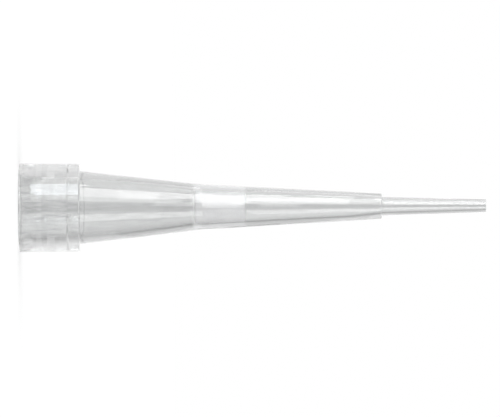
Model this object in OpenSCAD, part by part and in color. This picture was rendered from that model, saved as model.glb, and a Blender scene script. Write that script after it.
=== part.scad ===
// Filter pipette tip for a 10 microlitre pipette, stood on its mouth.
// The body is one injection moulding, turned about +Z: a plain collar, a wide cone that eases
// into a slim one at the waist, a square step, and a fine drawn-out point. The bore follows it
// in stages of its own: lip, lead-in, nozzle socket with a sealing bead, ledge, neck, barrel,
// throat, filter seat and liquid bore, which draws in to the point. A plug of porous
// polyethylene sits in the filter seat.
// Heights are measured upwards from the mouth rim. All sizes are in millimetres.

/* [Overall] */
// Height of the tip, from the mouth rim to the orifice
tip_length = 31.5; // [29:0.1:36]

/* [Collar] */
// Outer diameter of the collar at the mouth rim
collar_mouth_d = 6; // [5.8:0.05:7]
// Outer diameter of the collar at its shoulder, smaller by the mould's draft
collar_shoulder_d = 5.94; // [5.6:0.02:6.9]
// Height of the collar
collar_height = 4.08; // [3.9:0.02:5]
// Rounding of the collar's outer edges
collar_round = 0.06; // [0.03:0.01:0.15]

/* [Nozzle socket] */
// Inner diameter of the sealing bead, which the pipette's nozzle is pressed into
seal_d = 4.06; // [3.9:0.02:4.2]
// How far the sealing bead stands out of the socket's wall
bead_rise = 0.03; // [0.02:0.01:0.1]
// Height of the middle of the sealing bead
bead_middle = 1.97; // [1.8:0.01:2.3]
// Length of the bead along the bore, with its flanks
bead_length = 0.8; // [0.6:0.05:0.9]
// Length of each sloping flank of the bead
bead_flank = 0.28; // [0.1:0.01:0.28]
// Draft of the socket's wall, in degrees
socket_draft = 1; // [0.5:0.1:2]
// How much wider the mouth is than the socket, on each side
mouth_flare = 0.24; // [0.16:0.02:0.5]
// Height of the straight lip inside the mouth
lip_height = 0.25; // [0.1:0.05:0.4]
// Height at which the lead-in cone ends and the socket begins
lead_in_height = 1; // [0.7:0.05:1.2]
// Height of the ledge that stops the nozzle
ledge_height = 3.2; // [2.9:0.05:3.4]
// Width of the ledge, on each side
ledge_width = 0.1; // [0.05:0.01:0.25]
// Height over which the ledge closes in
ledge_slope = 0.15; // [0.08:0.01:0.3]
// Length of the nearly straight bore just past the ledge
land_length = 0.4; // [0.2:0.05:0.5]

/* [Body] */
// Outer diameter of the body where it leaves the collar
neck_d = 4.96; // [4.8:0.02:5.2]
// Height of the waist, where the wide cone turns into the slim one
waist_height = 12.1; // [11.5:0.1:13]
// Outer diameter at the waist
waist_d = 3.1; // [2.9:0.02:3.3]
// Outer diameter at the end of the slim cone, just before the step
step_d = 1.71; // [1.6:0.01:1.9]
// Radius that eases the bends in the cones
waist_blend = 14; // [6:1:20]

/* [Point] */
// Length of the fine point past the step
point_length = 7.05; // [6:0.05:8]
// Outer diameter of the point at its root
point_root_d = 1.25; // [1.15:0.01:1.35]
// Outer diameter of the point at the orifice
point_d = 0.84; // [0.76:0.01:0.92]
// Rounding of the edges at the step and the orifice
point_round = 0.04; // [0.02:0.01:0.06]

/* [Wall] */
// Wall thickness at the neck, just past the collar
neck_wall = 0.52; // [0.45:0.01:0.75]
// Wall thickness of the barrel, even all along it
barrel_wall = 0.4; // [0.35:0.01:0.6]
// Wall thickness where the filter seat begins
seat_wall = 0.45; // [0.38:0.01:0.65]
// Wall thickness where the liquid bore begins to draw in towards the point
draw_wall = 0.32; // [0.25:0.01:0.5]
// Wall thickness at the root of the point
point_root_wall = 0.2; // [0.16:0.01:0.3]
// Wall thickness at the orifice
orifice_wall = 0.17; // [0.14:0.01:0.26]

/* [Bore stages] */
// Distance from the collar's shoulder to the end of the neck
neck_length = 0.35; // [0.2:0.05:1]
// Distance from the collar's shoulder to the start of the barrel
barrel_start = 2.65; // [1.5:0.05:4]
// Length of the throat, which narrows the bore down to the filter seat
throat_length = 2.1; // [1.5:0.1:3]
// How far before the waist the filter seat begins
seat_lead = 0.5; // [0:0.1:1]
// Length over which the liquid bore draws in, up to the root of the point
draw_length = 2.1; // [1:0.1:4]

/* [Filter plug] */
// Length of the filter plug
filter_length = 3.47; // [2.5:0.01:5]
// How far the plug has been pushed into its seat
filter_depth = 0.2; // [0:0.05:1]
// Gap between the plug and the wall of its seat
filter_gap = 0.01; // [0.005:0.005:0.03]
// Rounding of the plug's end that faces the mouth
filter_back_round = 0.15; // [0.05:0.01:0.3]
// Rounding of the plug's end that faces the point
filter_front_round = 0.06; // [0.03:0.01:0.15]

/* [Hidden] */

TURN_STEPS = 144; // facets in one turn
ARC_STEPS = 5;    // chords in one rounded corner
OVERSHOOT = 1;    // how far the bore runs on past each end of the body

neck_height = collar_height + neck_length;
barrel_height = collar_height + barrel_start;
seat_height = waist_height - seat_lead;
throat_height = seat_height - throat_length;
step_height = tip_length - point_length;
draw_height = step_height - draw_length;
seal_r = seal_d / 2;
ledge_end = ledge_height + ledge_slope;
land_height = ledge_end + land_length;

// Radius at a height on the cone through two points, each given as [radius, height].
function cone_radius(height, low, high) =
    low[0] + (high[0] - low[0]) * (height - low[1]) / (high[1] - low[1]);
// Outer radius of the wide cone at a height.
function wide_cone_radius(height) =
    cone_radius(height, [neck_d / 2, collar_height], [waist_d / 2, waist_height]);
// Outer radius of the slim cone at a height.
function slim_cone_radius(height) =
    cone_radius(height, [waist_d / 2, waist_height], [step_d / 2, step_height]);
// A point of the bore, [radius, height], that leaves a wall of the wide cone.
function bore_point(height, wall) = [wide_cone_radius(height) - wall, height];
// Radius of the socket's drafted wall at a height.
function socket_radius(height) =
    seal_r + bead_rise + (bead_middle - height) * tan(socket_draft);

neck_end = bore_point(neck_height, neck_wall);
barrel_top = bore_point(barrel_height, barrel_wall);
throat_top = bore_point(throat_height, barrel_wall);
seat_top = bore_point(seat_height, seat_wall);
draw_start = [slim_cone_radius(draw_height) - draw_wall, draw_height];
point_bore = [point_root_d / 2 - point_root_wall, step_height];
orifice = [point_d / 2 - orifice_wall, tip_length];

// Outline of a turned solid. Each corner is [radius, height, rounding], and a rounding of 0
// leaves it sharp. A rounding is limited to what the shorter of its two sides can carry.
function unit(v) = v / norm(v);
function flat(corner) = [corner[0], corner[1]];
function arc(before, corner, after, rounding) =
    let (
        back = unit(before - corner),
        ahead = unit(after - corner),
        half_angle = acos(back * ahead) / 2,
        room = min(norm(before - corner), norm(after - corner)) * 0.48,
        reach = min(rounding / tan(half_angle), room),
        radius = reach * tan(half_angle),
        centre = corner + unit(back + ahead) * radius / sin(half_angle),
        first = corner + back * reach - centre,
        last = corner + ahead * reach - centre,
        start = atan2(first[1], first[0]),
        turn = (atan2(last[1], last[0]) - start + 540) % 360 - 180
    )
    [for (i = [0:ARC_STEPS]) centre + radius * [
        cos(start + turn * i / ARC_STEPS),
        sin(start + turn * i / ARC_STEPS)
    ]];
function outline(corners) = [
    for (i = [0:len(corners) - 1])
        let (
            before = corners[(i + len(corners) - 1) % len(corners)],
            after = corners[(i + 1) % len(corners)]
        )
        each corners[i][2] == 0
            ? [flat(corners[i])]
            : arc(flat(before), flat(corners[i]), flat(after), corners[i][2])
];
module turned(corners) {
    rotate_extrude($fn = TURN_STEPS) polygon(outline(corners));
}

// The outside of the moulding, from the mouth rim to the orifice.
module outer_form() {
    turned([
        [0, 0, 0],
        [collar_mouth_d / 2, 0, collar_round],
        [collar_shoulder_d / 2, collar_height, collar_round],
        [neck_d / 2, collar_height, collar_round],
        [waist_d / 2, waist_height, waist_blend],
        [step_d / 2, step_height, point_round],
        [point_root_d / 2, step_height, point_round],
        [point_d / 2, tip_length, point_round],
        [0, tip_length, 0],
    ]);
}

// The inside of the moulding. It is one core, run on past the mouth and the orifice.
module bore_form() {
    mouth_r = socket_radius(lead_in_height) + mouth_flare;
    bead_start = bead_middle - bead_length / 2;
    bead_end = bead_middle + bead_length / 2;
    past_orifice = tip_length + OVERSHOOT;
    turned([
        [0, -OVERSHOOT, 0],
        [mouth_r, -OVERSHOOT, 0],
        [mouth_r, lip_height, collar_round],
        [socket_radius(lead_in_height), lead_in_height, 4 * mouth_flare],
        [socket_radius(bead_start), bead_start, bead_length],
        [seal_r, bead_start + bead_flank, bead_length],
        [seal_r, bead_end - bead_flank, bead_length],
        [socket_radius(bead_end), bead_end, bead_length],
        [socket_radius(ledge_height), ledge_height, ledge_width],
        [socket_radius(ledge_end) - ledge_width, ledge_end, ledge_width],
        [socket_radius(land_height) - ledge_width, land_height, land_length],
        [neck_end[0], neck_end[1], land_length],
        [barrel_top[0], barrel_top[1], waist_blend],
        [throat_top[0], throat_top[1], waist_blend / 2],
        [seat_top[0], seat_top[1], waist_blend / 4],
        [draw_start[0], draw_start[1], waist_blend],
        [point_bore[0], point_bore[1], waist_blend],
        [cone_radius(past_orifice, point_bore, orifice), past_orifice, 0],
        [0, past_orifice, 0],
    ]);
}

// The moulded body, in translucent natural polypropylene.
module tip_body() {
    color([0.84, 0.85, 0.85, 0.55]) difference() {
        outer_form();
        bore_form();
    }
}

// The porous plug, tapered as its seat is, and pushed in until it jams there.
module filter_plug() {
    back_end = seat_height + filter_depth;
    front_end = back_end + filter_length;
    function plug_radius(height) = cone_radius(height, seat_top, draw_start) - filter_gap;
    color("white") turned([
        [0, back_end, 0],
        [plug_radius(back_end), back_end, filter_back_round],
        [plug_radius(front_end), front_end, filter_front_round],
        [0, front_end, 0],
    ]);
}

tip_body();
filter_plug();
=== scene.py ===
import math

import bpy
from mathutils import Matrix, Vector


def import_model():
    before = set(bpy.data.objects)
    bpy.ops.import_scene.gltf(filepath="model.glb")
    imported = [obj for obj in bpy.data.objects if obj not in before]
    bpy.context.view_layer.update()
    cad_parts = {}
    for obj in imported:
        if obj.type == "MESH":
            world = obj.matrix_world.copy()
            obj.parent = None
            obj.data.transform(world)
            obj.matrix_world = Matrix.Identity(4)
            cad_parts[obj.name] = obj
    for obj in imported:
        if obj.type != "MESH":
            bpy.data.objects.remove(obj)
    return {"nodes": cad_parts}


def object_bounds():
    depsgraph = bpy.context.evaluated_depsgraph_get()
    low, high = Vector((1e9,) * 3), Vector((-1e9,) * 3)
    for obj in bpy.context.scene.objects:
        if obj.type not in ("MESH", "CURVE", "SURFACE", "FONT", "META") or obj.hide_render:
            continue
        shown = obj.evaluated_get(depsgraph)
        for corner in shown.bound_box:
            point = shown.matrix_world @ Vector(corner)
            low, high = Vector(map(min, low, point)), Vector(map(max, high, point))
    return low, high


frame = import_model()
cad_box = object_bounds()

MM = 0.001
WHITE = (1, 1, 1, 1)
BLACK = (0, 0, 0, 1)

# Camera: aimed near the middle of the tip, and turned so that the point lies to the right
CAMERA_DISTANCE = 500 * MM
CAMERA_CLIP = (0.01, 10)      # m
IMAGE_WIDTH = 33.75 * MM      # real width that the picture spans at the tip's axis
SENSOR = 36                   # mm
CENTRE_X = 0.12 * MM
CENTRE_Z = 15.57 * MM
ROLL = math.radians(0.27)

# The tip's outside: heights where it bends or steps, and a radius within its wall there
COLLAR_TOP = 4.08 * MM
WAIST = 12.1 * MM
STEP = 24.45 * MM
TOP = cad_box[1][2]
MID_COLLAR = 2.7 * MM
MID_NECK = 2.2 * MM
MID_WAIST = 1.35 * MM
MID_STEP = 0.66 * MM
MID_POINT = 0.53 * MM
MID_TOP = 0.34 * MM
EDGE = 0.01 * MM              # height over which a value changes at a square step
COLLAR_FADE = 0.04 * MM       # and height over which the streaks change above the collar

# Where the plug lies, and how softly the lighter tint of its stretch, painted light from the white
# plug, begins and ends
PLUG_LOW = 11.8 * MM
PLUG_HIGH = 15.27 * MM
PLUG_PAINTED_LIGHT_EDGE = 0.1 * MM

# Natural polypropylene: what each side of the wall lets through, along the tip. Over the plug both
# sides are lighter, as painted light that stands in for the light the white plug spreads into the
# wall
PP_OUTER_COLLAR = (0.735, 0.74, 0.74, 1)
PP_OUTER_WIDE = (0.645, 0.65, 0.65, 1)
# painted light: the outer side over the plug is lighter than elsewhere
PP_OUTER_PLUG_PAINTED_LIGHT = (0.78, 0.785, 0.79, 1)
PP_OUTER_SLIM = (0.655, 0.66, 0.66, 1)
PP_INNER_COLLAR = (0.74, 0.745, 0.745, 1)
PP_INNER_WIDE = (0.805, 0.81, 0.81, 1)
# painted light: the inner side over the plug lets everything through
PP_INNER_PLUG_PAINTED_LIGHT = WHITE
PP_INNER_SLIM = (0.845, 0.85, 0.85, 1)
PP_IOR = 1.49
PP_SMOOTH = 0.015             # roughness of the clear plastic
PP_ROUGH = 0.03               # and of its streaks
PP_CORE_ROUGH = 0.12          # the bore up to the plug, where the core is less polished
PP_DENSITY = 8                # how strongly the plastic itself absorbs light

# Flow lines in the plastic: how far they stand out, their size, and the clouds along them
STREAK_COLLAR = 0.0015 * MM
STREAK_BODY = 0.0007 * MM
STREAK_WIDTH = 0.2 * MM
STREAK_LENGTH = 1.2 * MM
STREAK_DETAIL = 3
CLOUD_COLLAR = 0.45
CLOUD_BODY = 0.2
CLOUD_SHADE = (0.55, 0.555, 0.56, 1)
CLOUD_LOW = 0.45
CLOUD_HIGH = 0.7
SLIM_SHARE = 0.4              # share of the streaks and clouds that the slim cone keeps

# Porous polyethylene
PE_COLOUR = (0.96, 0.965, 0.97, 1)
# painted shade in the hollow pores between the beads
PE_PORE_PAINTED_SHADE = (0.92, 0.925, 0.93, 1)
PE_ROUGH = 0.45
PE_REACH = 0.3 * MM           # how far light spreads within it
PE_GRAIN = 0.12 * MM
PE_GRAIN_DEPTH = 0.006 * MM
PE_GRAIN_BLUR = 0.6
PE_PORE_LOW = 0.3
PE_PORE_HIGH = 0.8

# Level of the surroundings by the angle about the tip, in degrees: 0 is towards the camera,
# 90 towards the upper side of the picture. A level of 1 is white.
SURROUNDINGS = (
    (-180, 1.0),
    (-176, 1.05),
    (-170, 1.15),
    (-163, 1.15),
    (-148, 0.9),
    (-125, 0.55),
    (-95, 0.7),
    (-60, 1.8),
    (-22, 1.55),
    (-9, 0.7),
    (9, 0.7),
    (22, 1.5),
    (60, 1.75),
    (95, 1.2),
    (125, 0.86),
    (150, 0.95),
    (163, 1.05),
    (170, 1.1),
    (176, 1.05),
    (180, 1.0),
)
BRIGHTEST = 2                 # the level that white stands for in the ramp made of these
PLAIN_LEVEL = 1.3             # level of the surroundings for what is matt, from every side

FLOOR_HALF = 1                # half of the floor's width, in metres
FLOOR_COLOUR = (0.85, 0.85, 0.85, 1)
FLOOR_GLOW = 0.55             # what the camera sees of the floor besides its lit part
FLOOR_SHADE = (0.35, 0.35, 0.35, 1)   # colour of the lit part, which carries the shadow
FLOOR_GLASS = 0.62            # share of the surroundings that gloss and clear plastic see in it

# Softboxes by name. Each has its radiance, the angles that it spans from the view axis, positive
# towards the upper side of the picture, and the heights of its lower and upper edge in mm.
LAMP_DISTANCE = 200 * MM
SOFTBOXES = {
    "key": (5.9, (34, 67), (30, 54)),               # the long highlight
    "key_skirt": (3, (20, 34), (30, 54)),           # its soft lower edge
    "overhead": (1.6, (70, 115), (30, 60)),         # its soft upper edge and the upper flank
    "veil_high": (6.5, (67, 77), (33.5, 37.3)),     # the veil over the plug, from above down
    "veil": (3.4, (18, 32), (33.5, 37.3)),
    "veil_skirt": (5.2, (7, 18), (33.5, 37.3)),
    "veil_edge": (2.6, (-5, 7), (33.5, 37.3)),
    "spill": (2.4, (4, 22), (53, 58)),              # the soft light just before the plug
    "fill": (3, (-46, -22), (37, 62)),              # the lower line
    "fill_low": (3, (-46, -22), (2, 12)),           # the same in the collar
}

# The window that shows in the collar, and the soft light about it
WINDOW = 5
WINDOW_ANGLES = (33.5, 64)
WINDOW_HEIGHTS = (0.1, 4)
WINDOW_DISTANCE = 80 * MM
WINDOW_COLOUR = (0.88, 0.95, 1)
WINDOW_TILT = math.radians(0.6)   # a turn in its own plane
HALO = 2
HALO_ANGLES = (20, 86)
HALO_DISTANCE = 86 * MM

LIGHT_BOUNCES = 40            # light goes round inside the clear wall many times


class Nodes:
    """Short ways to add shader nodes to one node tree."""

    def __init__(self, tree):
        self.tree = tree

    def add(self, kind, **settings):
        node = self.tree.nodes.new("ShaderNode" + kind)
        for key, value in settings.items():
            setattr(node, key, value)
        return node

    def feed(self, socket, value):
        """Link an output to a socket, or set the socket to a constant."""
        if isinstance(value, bpy.types.NodeSocket):
            self.tree.links.new(value, socket)
        else:
            socket.default_value = value

    def math(self, operation, *values):
        node = self.add("Math", operation=operation)
        for socket, value in zip(node.inputs, values):
            self.feed(socket, value)
        return node.outputs[0]

    def ramp(self, value, low, high, to_low=0, to_high=1, smooth=True):
        """A value that goes from to_low to to_high while the input goes from low to high."""
        node = self.add("MapRange", interpolation_type="SMOOTHSTEP" if smooth else "LINEAR")
        for key, setting in (
            ("Value", value),
            ("From Min", low),
            ("From Max", high),
            ("To Min", to_low),
            ("To Max", to_high),
        ):
            self.feed(node.inputs[key], setting)
        return node.outputs[0]

    def blend(self, share, first, second, kind="RGBA", mode="MIX"):
        """The first value at a share of 0 and, in the plain mode, the second at 1."""
        node = self.add("Mix", data_type=kind, blend_type=mode)
        sockets = {"FLOAT": (0, 2, 3), "RGBA": (0, 6, 7)}[kind]
        for index, setting in zip(sockets, (share, first, second)):
            self.feed(node.inputs[index], setting)
        return node.outputs[{"FLOAT": 0, "RGBA": 2}[kind]]

    def coordinates(self, kind):
        node = self.add("TexCoord")
        split = self.add("SeparateXYZ")
        self.feed(split.inputs[0], node.outputs[kind])
        return split.outputs[:]

    def relief(self, height):
        """A normal for a surface whose relief has this height, in metres."""
        bump = self.add("Bump")
        bump.inputs["Strength"].default_value = 1
        bump.inputs["Distance"].default_value = 1
        self.feed(bump.inputs["Height"], height)
        return bump.outputs[0]


def principled(name):
    """A material, a helper for its nodes, and its Principled shader."""
    material = bpy.data.materials.new(name)
    material.use_nodes = True
    return material, Nodes(material.node_tree), material.node_tree.nodes["Principled BSDF"]


def on_the_outside(nodes, x, y, z):
    """1 on the outer surface of the tip and 0 in its bore."""
    squares = nodes.math("ADD", nodes.math("POWER", x, 2), nodes.math("POWER", y, 2))
    radius = nodes.math("SQRT", squares)
    middle = nodes.ramp(z, COLLAR_TOP, WAIST, MID_NECK, MID_WAIST, smooth=False)
    for low, high, start, end in (
        (COLLAR_TOP - EDGE, COLLAR_TOP, MID_COLLAR - MID_NECK, 0),
        (WAIST, STEP, 0, MID_STEP - MID_WAIST),
        (STEP - EDGE, STEP, 0, MID_POINT - MID_STEP),
        (STEP, TOP, 0, MID_TOP - MID_POINT),
    ):
        middle = nodes.math("ADD", middle, nodes.ramp(z, low, high, start, end, smooth=False))
    return nodes.math("GREATER_THAN", radius, middle)


def flow_lines(nodes, x, y, z):
    """Noise drawn out along the tip, as the melt flowed."""
    place = nodes.add("CombineXYZ")
    sizes = (STREAK_WIDTH, STREAK_WIDTH, STREAK_LENGTH)
    for socket, value, size in zip(place.inputs, (x, y, z), sizes):
        nodes.feed(socket, nodes.math("DIVIDE", value, size))
    noise = nodes.add("TexNoise")
    nodes.feed(noise.inputs["Vector"], place.outputs[0])
    noise.inputs["Scale"].default_value = 1
    noise.inputs["Detail"].default_value = STREAK_DETAIL
    return noise.outputs[0]


def along_the_tip(nodes, z, collar, body):
    """A value for the collar and one for the body, which fades over the plug's length."""
    wide = nodes.ramp(z, COLLAR_TOP, COLLAR_TOP + COLLAR_FADE, collar, body)
    return nodes.math("MULTIPLY", wide, nodes.ramp(z, PLUG_LOW, PLUG_HIGH, 1, SLIM_SHARE))


def wall_tint(nodes, z, outside, slim):
    """What each side of the wall lets through, in each stretch of the tip, with painted light over
    the plug: a lighter tint on both sides there.
    """
    collar = nodes.math("LESS_THAN", z, COLLAR_TOP + EDGE)
    # the plug's stretch, where the wall gets its lighter tint as painted light from the plug
    above = nodes.ramp(z, PLUG_LOW - PLUG_PAINTED_LIGHT_EDGE, PLUG_LOW + PLUG_PAINTED_LIGHT_EDGE)
    below = nodes.ramp(z, PLUG_HIGH + PLUG_PAINTED_LIGHT_EDGE, PLUG_HIGH - PLUG_PAINTED_LIGHT_EDGE)
    plug = nodes.math("MULTIPLY", above, below)
    sides = []
    for wide_tint, collar_tint, slim_tint, plug_painted_light_tint in (
        (PP_INNER_WIDE, PP_INNER_COLLAR, PP_INNER_SLIM, PP_INNER_PLUG_PAINTED_LIGHT),
        (PP_OUTER_WIDE, PP_OUTER_COLLAR, PP_OUTER_SLIM, PP_OUTER_PLUG_PAINTED_LIGHT),
    ):
        tint = nodes.blend(collar, wide_tint, collar_tint)
        tint = nodes.blend(slim, tint, slim_tint)
        sides.append(nodes.blend(plug, tint, plug_painted_light_tint))
    return nodes.blend(outside, *sides)


def polypropylene():
    """Clear natural moulding, with flow lines and clouds along them."""
    material, nodes, shader = principled("natural_polypropylene")
    x, y, z = nodes.coordinates("Object")
    outside = on_the_outside(nodes, x, y, z)
    slim = nodes.ramp(z, PLUG_LOW, PLUG_HIGH)
    lines = flow_lines(nodes, x, y, z)

    cloud = nodes.ramp(lines, CLOUD_LOW, CLOUD_HIGH)
    cloud = nodes.math("MULTIPLY", cloud, along_the_tip(nodes, z, CLOUD_COLLAR, CLOUD_BODY))
    tint = wall_tint(nodes, z, outside, slim)
    clouded = nodes.blend(cloud, tint, CLOUD_SHADE, mode="MULTIPLY")
    nodes.feed(shader.inputs["Base Color"], clouded)

    smooth = nodes.ramp(lines, CLOUD_LOW, CLOUD_HIGH, PP_SMOOTH, PP_ROUGH)
    core = nodes.blend(slim, PP_CORE_ROUGH, PP_SMOOTH, "FLOAT")
    nodes.feed(shader.inputs["Roughness"], nodes.blend(outside, core, smooth, "FLOAT"))

    depth = along_the_tip(nodes, z, STREAK_COLLAR, STREAK_BODY)
    nodes.feed(shader.inputs["Normal"], nodes.relief(nodes.math("MULTIPLY", lines, depth)))
    shader.inputs["Transmission Weight"].default_value = 1
    shader.inputs["IOR"].default_value = PP_IOR

    haze = nodes.add("VolumeAbsorption")
    haze.inputs["Color"].default_value = BLACK
    haze.inputs["Density"].default_value = PP_DENSITY
    output = material.node_tree.nodes["Material Output"]
    nodes.feed(output.inputs["Volume"], haze.outputs[0])
    return material


def porous_polyethylene():
    """Beads of polyethylene sintered together: matt white, with painted shade in the sunken pores
    between them.
    """
    material, nodes, shader = principled("porous_polyethylene_sinter")
    beads = nodes.add("TexVoronoi", feature="SMOOTH_F1")
    nodes.feed(beads.inputs["Vector"], nodes.add("TexCoord").outputs["Object"])
    beads.inputs["Scale"].default_value = 1 / PE_GRAIN
    beads.inputs["Smoothness"].default_value = PE_GRAIN_BLUR
    pore = nodes.ramp(beads.outputs["Distance"], PE_PORE_LOW, PE_PORE_HIGH)
    # the pores get a darker colour: painted shade in the hollows, which the relief below also sinks
    nodes.feed(shader.inputs["Base Color"], nodes.blend(pore, PE_COLOUR, PE_PORE_PAINTED_SHADE))
    height = nodes.math("MULTIPLY", pore, -PE_GRAIN_DEPTH)
    nodes.feed(shader.inputs["Normal"], nodes.relief(height))
    shader.inputs["Roughness"].default_value = PE_ROUGH
    shader.inputs["Subsurface Weight"].default_value = 1
    shader.inputs["Subsurface Radius"].default_value = (1, 1, 1)
    shader.inputs["Subsurface Scale"].default_value = PE_REACH
    return material


def put(material, node):
    node.data.materials.clear()
    node.data.materials.append(material)


def surroundings(nodes, x, y):
    """Level of the surroundings in the direction x, y."""
    angle = nodes.math("ARCTAN2", nodes.math("MULTIPLY", x, -1), nodes.math("MULTIPLY", y, -1))
    node = nodes.add("ValToRGB")
    nodes.feed(node.inputs[0], nodes.ramp(angle, -math.pi, math.pi, smooth=False))
    stops = node.color_ramp
    stops.interpolation = "EASE"
    stops.elements.remove(stops.elements[1])
    for index, (degrees, level) in enumerate(SURROUNDINGS):
        place = (degrees + 180) / 360
        stop = stops.elements.new(place) if index else stops.elements[0]
        stop.position = place
        stop.color = (level / BRIGHTEST, level / BRIGHTEST, level / BRIGHTEST, 1)
    return nodes.math("MULTIPLY", node.outputs[0], BRIGHTEST)


def floor_white():
    """White with the shadow to the camera, a share of the surroundings in gloss and clear plastic,
    and plain matt white to all other light."""
    material = bpy.data.materials.new("floor_white")
    material.use_nodes = True
    material.node_tree.nodes.clear()
    nodes = Nodes(material.node_tree)
    x, y = nodes.coordinates("Object")[:2]
    path = nodes.add("LightPath")
    eye = path.outputs["Is Camera Ray"]
    gloss = path.outputs["Is Glossy Ray"]
    clear = nodes.math("MAXIMUM", gloss, path.outputs["Is Transmission Ray"])
    plain = nodes.add("BsdfDiffuse")
    plain.inputs["Color"].default_value = FLOOR_COLOUR
    glow = nodes.add("Emission")
    around = nodes.math("MULTIPLY", surroundings(nodes, x, y), FLOOR_GLASS)
    nodes.feed(glow.inputs["Strength"], nodes.blend(eye, around, FLOOR_GLOW, "FLOAT"))
    shade = nodes.add("BsdfDiffuse")
    shade.inputs["Color"].default_value = FLOOR_SHADE
    lit = nodes.add("AddShader")
    nodes.feed(lit.inputs[0], glow.outputs[0])
    nodes.feed(lit.inputs[1], shade.outputs[0])
    mix = nodes.add("MixShader")
    nodes.feed(mix.inputs[0], nodes.math("MAXIMUM", eye, clear))
    nodes.feed(mix.inputs[1], plain.outputs[0])
    nodes.feed(mix.inputs[2], lit.outputs[0])
    nodes.feed(nodes.add("OutputMaterial").inputs["Surface"], mix.outputs[0])
    return material


def floor():
    mesh = bpy.data.meshes.new("floor")
    corners = [(-1, -1), (1, -1), (1, 1), (-1, 1)]
    mesh.from_pydata([(x * FLOOR_HALF, y * FLOOR_HALF, 0) for x, y in corners], [], [(0, 1, 2, 3)])
    piece = bpy.data.objects.new("floor", mesh)
    bpy.context.scene.collection.objects.link(piece)
    piece.data.materials.append(floor_white())


def world():
    """White to the camera, even light on what is matt, and the surroundings in all else."""
    sky = bpy.data.worlds.new("studio")
    bpy.context.scene.world = sky
    sky.use_nodes = True
    nodes = Nodes(sky.node_tree)
    x, y = nodes.coordinates("Generated")[:2]
    path = nodes.add("LightPath")
    matt = nodes.math("MINIMUM", path.outputs["Diffuse Depth"], 1)
    level = nodes.blend(matt, surroundings(nodes, x, y), PLAIN_LEVEL, "FLOAT")
    level = nodes.blend(path.outputs["Is Camera Ray"], level, 1, "FLOAT")
    background = sky.node_tree.nodes["Background"]
    nodes.feed(background.inputs["Strength"], level)
    background.inputs["Color"].default_value = WHITE


def softbox(name, radiance, angles, heights, distance, colour=WHITE[:3], tilt=0):
    """An upright area lamp that faces the tip's axis and spans the angles as seen from there."""
    mid = math.radians(sum(angles) / 2)
    half = math.radians(angles[1] - angles[0]) / 2
    low, high = heights[0] * MM, heights[1] * MM
    lamp = bpy.data.lights.new(name, "AREA")
    lamp.shape = "RECTANGLE"
    lamp.color = colour
    lamp.size = 2 * distance * math.tan(half)
    lamp.size_y = high - low
    lamp.energy = radiance * math.pi * lamp.size * lamp.size_y
    piece = bpy.data.objects.new(name, lamp)
    bpy.context.scene.collection.objects.link(piece)
    outward = Vector((-math.sin(mid), -math.cos(mid), 0))   # a lamp shines along its local -Z
    up = Vector((0, 0, 1))
    turn = Matrix((up.cross(outward), up, outward)).transposed().to_4x4()
    place = Matrix.Translation(outward * distance + up * (low + high) / 2)
    piece.matrix_world = place @ turn @ Matrix.Rotation(tilt, 4, "Z")


def lamps():
    for name, (radiance, angles, heights) in SOFTBOXES.items():
        softbox(name, radiance, angles, heights, LAMP_DISTANCE)
    softbox(
        "window", WINDOW, WINDOW_ANGLES, WINDOW_HEIGHTS, WINDOW_DISTANCE, WINDOW_COLOUR, WINDOW_TILT
    )
    softbox("halo", HALO, HALO_ANGLES, WINDOW_HEIGHTS, HALO_DISTANCE)


def camera():
    lens = bpy.data.cameras.new("camera")
    lens.sensor_width = SENSOR
    lens.lens = SENSOR * CAMERA_DISTANCE / IMAGE_WIDTH
    lens.clip_start, lens.clip_end = CAMERA_CLIP
    piece = bpy.data.objects.new("camera", lens)
    bpy.context.scene.collection.objects.link(piece)
    right, up, back = Vector((0, 0, 1)), Vector((-1, 0, 0)), Vector((0, -1, 0))
    turn = Matrix((right, up, back)).transposed().to_4x4()
    place = Vector((CENTRE_X, -CAMERA_DISTANCE, CENTRE_Z))
    piece.matrix_world = Matrix.Translation(place) @ turn @ Matrix.Rotation(-ROLL, 4, "Z")
    bpy.context.scene.camera = piece


put(polypropylene(), frame["nodes"]["tip_body"])
put(porous_polyethylene(), frame["nodes"]["filter_plug"])
floor()
world()
lamps()
camera()

bpy.context.scene.view_settings.view_transform = "Standard"
cycles = bpy.context.scene.cycles
cycles.max_bounces = LIGHT_BOUNCES
cycles.transmission_bounces = LIGHT_BOUNCES
cycles.glossy_bounces = LIGHT_BOUNCES
